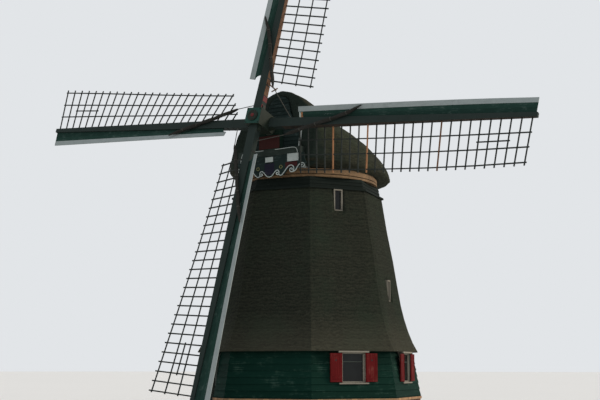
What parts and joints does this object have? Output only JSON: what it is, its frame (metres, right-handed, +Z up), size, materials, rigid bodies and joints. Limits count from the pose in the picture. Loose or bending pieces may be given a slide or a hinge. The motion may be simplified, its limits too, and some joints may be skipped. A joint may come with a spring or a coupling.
{
  "type": "traditional windmill",
  "caption": "Eight-sided thatched smock mill on a brick plinth, with a boarded base, hinged door and shutters, a turning thatched cap and four latticed sails on a tilted windshaft",
  "frame": {"origin": "on the ground, at the foot of the upright axis that the cap turns about", "axes": "+Z up, -Y the way the sails face at rest, +X to the right of someone facing the sails"},
  "size_m": [19.928, 10.0258, 20.0375],
  "materials": {
    "brick": "brickwork, matt",
    "coping": "pale stone, matt",
    "boards_green": "painted weatherboard, satin",
    "floor_wood": "bare boards, matt",
    "frame_cream": "painted, satin",
    "post_grey": "painted, satin",
    "door_green": "painted, satin",
    "shutter_red": "painted, satin",
    "glass": "window glass",
    "thatch": "weathered reed thatch, matt",
    "tar": "tarred boards, satin",
    "oak": "bare timber, matt",
    "cap_green": "painted boards, satin",
    "panel_red": "painted, satin",
    "beam_grey": "painted beam, satin",
    "white": "painted, satin",
    "iron_green": "painted casting, satin",
    "shaft_iron": "painted casting, satin",
    "stock_blue": "painted steel, satin",
    "lattice_dark": "tarred bars, matt",
    "board_green": "painted boards, satin",
    "rope": "hemp rope, matt",
    "sail_cloth": "tanned sail cloth, matt"
  },
  "bodies": {
    "tower": {"base_wall_beside_door": "boards_green", "base_wall_front_right": "boards_green", "base_wall_over_door": "boards_green", "base_wall_rear": "boards_green", "base_wall_rear_left": "boards_green", "base_wall_right": "boards_green", "base_walls_plain": "boards_green", "collar": "tar", "curb_ring": "oak", "door_frame": "post_grey", "ground_floor": "floor_wood", "plinth_beside_door": "brick", "plinth_coping": "coping", "plinth_even_sides": "brick", "plinth_odd_sides": "brick", "plinth_under_door": "brick", "rear_shutters": "shutter_red", "shutter_lugs": "shutter_red", "slide_blocks": "oak", "slit_frames": "frame_cream", "smock_thatch_even_sides": "thatch", "smock_thatch_odd_sides": "thatch", "window_frames": "frame_cream", "window_glass": "glass"},
    "door": {"door_leaf": "door_green"},
    "shutter_front_left": {"shutter_front_left": "shutter_red"},
    "shutter_front_right": {"shutter_front_right": "shutter_red"},
    "shutter_side_left": {"shutter_side_left": "shutter_red"},
    "shutter_side_right": {"shutter_side_right": "shutter_red"},
    "cap": {"beard": "cap_green", "cap_eave": "oak", "cap_front_wall": "cap_green", "cap_ring": "oak", "cap_thatch_left": "thatch", "cap_thatch_right": "thatch", "front_edge_trims": "white", "neck_bearing": "beam_grey", "shaft_panel": "panel_red", "sheer_beams": "white", "tail_beam": "oak", "weather_beam": "beam_grey"},
    "rotor": {"cloth_roll_left": "sail_cloth", "cloth_roll_low": "sail_cloth", "cloth_roll_right": "sail_cloth", "cloth_roll_top": "sail_cloth", "lattice_left": "lattice_dark", "lattice_low": "lattice_dark", "lattice_right": "lattice_dark", "lattice_top": "lattice_dark", "poll_end": "iron_green", "poll_wedges": "iron_green", "sail_ropes": "rope", "stock_front": "stock_blue", "stock_rear": "stock_blue", "wind_board_left": "board_green", "wind_board_low": "board_green", "wind_board_right": "board_green", "wind_board_top": "board_green", "windshaft": "shaft_iron"}
  },
  "joints": [
    {"name": "shutter_front_left_hinge", "type": "hinge", "parent": "tower", "child": "shutter_front_left", "pos_m": [2.76339, -2.59642, 1.70985], "axis": [0, 0, 1], "range_deg": [0, 180]},
    {"name": "shutter_front_right_hinge", "type": "hinge", "parent": "tower", "child": "shutter_front_right", "pos_m": [3.29746, -1.87202, 1.70985], "axis": [0, 0, 1], "range_deg": [-180, 0]},
    {"name": "shutter_side_left_hinge", "type": "hinge", "parent": "tower", "child": "shutter_side_left", "pos_m": [3.78996, 0.11806, 1.70985], "axis": [0, 0, 1], "range_deg": [0, 180]},
    {"name": "shutter_side_right_hinge", "type": "hinge", "parent": "tower", "child": "shutter_side_right", "pos_m": [3.65538, 1.00794, 1.70985], "axis": [0, 0, 1], "range_deg": [-180, 0]},
    {"name": "door_hinge", "type": "hinge", "parent": "tower", "child": "door", "pos_m": [-2.32411, -2.48334, 1.2], "axis": [0, 0, 1], "range_deg": [0, 95]},
    {"name": "cap_turn", "type": "hinge", "parent": "tower", "child": "cap", "pos_m": [0, 0, 8.371], "axis": [0, 0, 1], "continuous": true},
    {"name": "sails_spin", "type": "hinge", "parent": "cap", "child": "rotor", "pos_m": [0, -3.383, 10.27], "axis": [0, -0.9736, 0.2284], "continuous": true}
  ]
}
